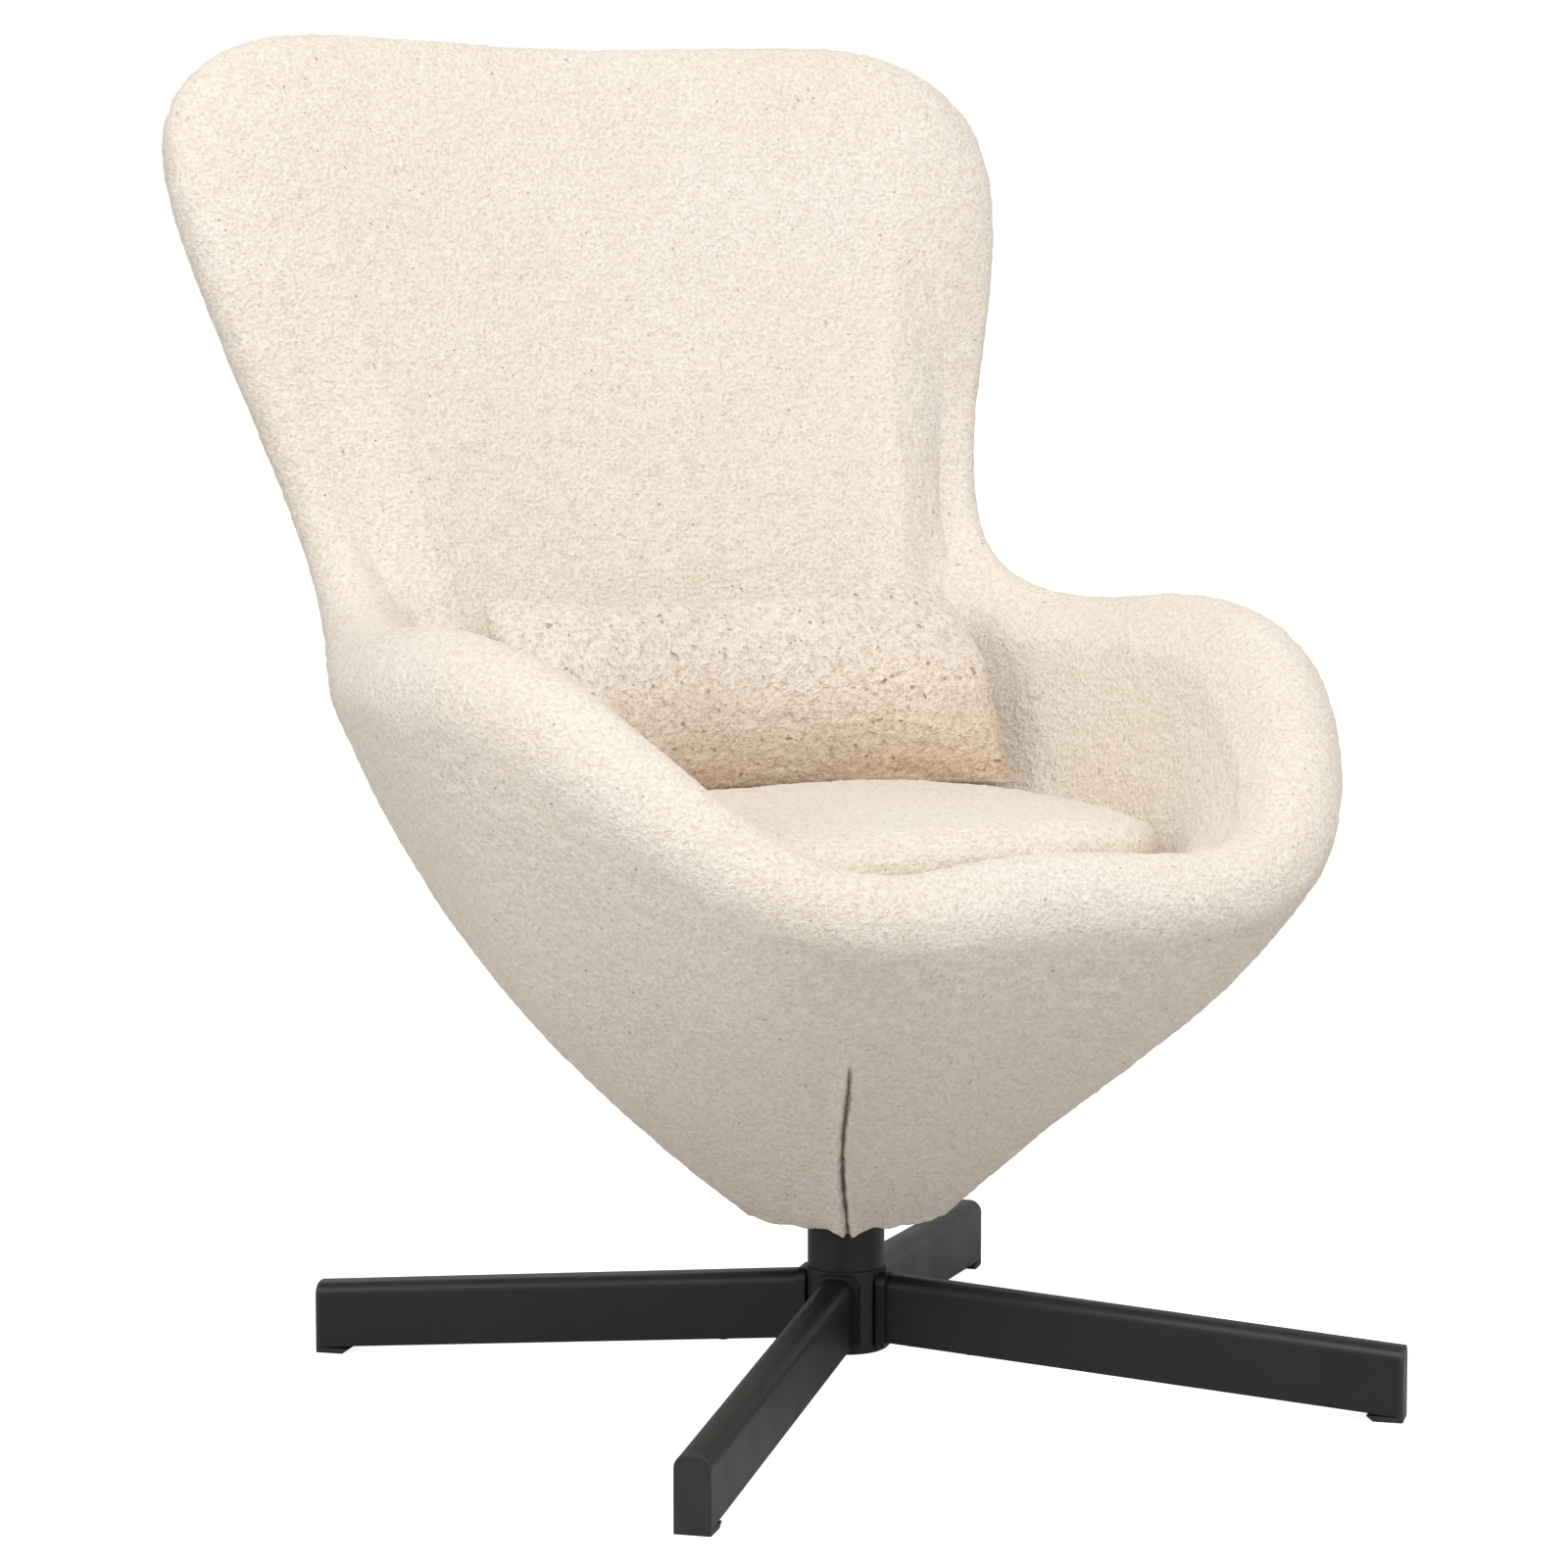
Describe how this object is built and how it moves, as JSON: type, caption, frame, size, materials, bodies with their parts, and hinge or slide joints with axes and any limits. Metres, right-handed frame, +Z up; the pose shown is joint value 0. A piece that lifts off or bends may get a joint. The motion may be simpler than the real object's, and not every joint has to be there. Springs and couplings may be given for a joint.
{
  "type": "upholstered swivel pod chair",
  "caption": "High-backed tub armchair in cream teddy fabric with a loose seat pad and lumbar pillow, turning on a black four-arm star base.",
  "frame": {"origin": "on the floor, on the swivel axis", "axes": "+Z up along the swivel axis, -Y to the front of the seat, +X to the sitter's left"},
  "size_m": [0.7228, 0.756, 0.991],
  "materials": {
    "black_powder_coat": "satin black powder coat",
    "black_nylon": "matt black moulded nylon",
    "black_zinc_steel": "black zinc plated steel",
    "white_acetal": "natural acetal",
    "bearing_steel": "ground bearing steel",
    "turned_steel": "turned steel",
    "birch_plywood": "sanded birch plywood",
    "moulded_shell": "moulded glass-fibre laminate",
    "cushion_foam": "open-cell polyurethane foam",
    "fibre_filling": "polyester fibre in an inner bag",
    "cream_teddy_fabric": "cream curled teddy pile",
    "lumbar_pile_fabric": "cream teddy pile, longer and coarser",
    "black_dust_cloth": "black non-woven cloth"
  },
  "bodies": {
    "base": {"hub": "black_powder_coat", "hub_plug": "black_nylon", "column": "black_powder_coat", "arm_screws": "black_zinc_steel", "arm_front_right": "black_powder_coat", "arm_front_left": "black_powder_coat", "arm_rear_left": "black_powder_coat", "arm_rear_right": "black_powder_coat", "end_cap_front_right": "black_nylon", "end_cap_front_left": "black_nylon", "end_cap_rear_left": "black_nylon", "end_cap_rear_right": "black_nylon", "upper_bush": "white_acetal", "lower_bush": "white_acetal", "lower_race": "bearing_steel"},
    "bearing_cage": {"ball_cage": "white_acetal", "bearing_balls": "bearing_steel"},
    "pod": {"upper_race": "bearing_steel", "spindle": "turned_steel", "retaining_washer": "turned_steel", "circlip": "turned_steel", "seat_plate": "black_powder_coat", "plate_bolts": "black_zinc_steel", "base_board": "birch_plywood", "tee_nuts": "turned_steel", "pod_shell": "moulded_shell", "seat_block": "cushion_foam", "outer_foam": "cushion_foam", "inner_foam": "cushion_foam", "pod_cover": "cream_teddy_fabric", "dust_cloth": "black_dust_cloth"},
    "seat_cushion": {"seat_cushion_cover": "cream_teddy_fabric", "seat_cushion_filling": "cushion_foam"},
    "lumbar_cushion": {"lumbar_cushion_cover": "lumbar_pile_fabric", "lumbar_cushion_filling": "fibre_filling"}
  },
  "joints": [
    {"name": "pod_swivel", "type": "hinge", "parent": "base", "child": "pod", "pos_m": [0, 0, 0.15925], "axis": [0, 0, 1], "continuous": true},
    {"name": "bearing_turn", "type": "hinge", "parent": "base", "child": "bearing_cage", "pos_m": [0, 0, 0.15925], "axis": [0, 0, 1], "continuous": true},
    {"name": "seat_cushion_lift", "type": "slide", "parent": "pod", "child": "seat_cushion", "axis": [0, 0, 1], "range_m": [0, 0.15]},
    {"name": "lumbar_cushion_lift", "type": "slide", "parent": "seat_cushion", "child": "lumbar_cushion", "axis": [0, 0, 1], "range_m": [0, 0.2]}
  ],
  "couplings": [
    {"joint": "bearing_turn", "follows": "pod_swivel", "ratio": 0.5}
  ]
}
